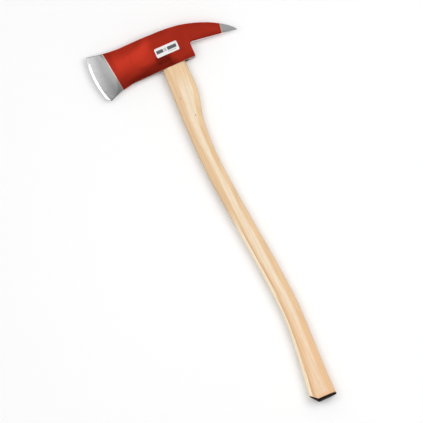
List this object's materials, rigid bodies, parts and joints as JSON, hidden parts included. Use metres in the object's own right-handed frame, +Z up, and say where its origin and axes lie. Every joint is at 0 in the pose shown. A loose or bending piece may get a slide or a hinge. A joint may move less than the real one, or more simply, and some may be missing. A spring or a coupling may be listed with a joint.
{
  "type": "fire axe",
  "caption": "Pick-head fire axe: red enamelled head with a bare ground bit and pick point, wedged on a long curved hardwood handle with a flared, dark-sealed end.",
  "frame": {"origin": "on the resting cheek's plane, under the middle of the eye", "axes": "+Y up the handle into the head, -X towards the cutting edge, +X towards the pick, +Z up from the resting cheek"},
  "size_m": [0.344, 0.9325, 0.0362],
  "materials": {
    "bare_steel": "satin, ground",
    "red_enamel": "gloss",
    "handle_wood": "clear lacquer",
    "wedge_wood": "bare end grain",
    "wedge_steel": "hammered, dull",
    "sealed_end": "dark sealer, satin",
    "label_vinyl": "satin"
  },
  "bodies": {
    "root": {"axe_head": "bare_steel", "head_enamel": "red_enamel", "handle": "handle_wood", "wooden_wedge": "wedge_wood", "steel_wedge_front": "wedge_steel", "steel_wedge_rear": "wedge_steel", "end_seal": "sealed_end", "label": "label_vinyl"}
  },
  "joints": []
}
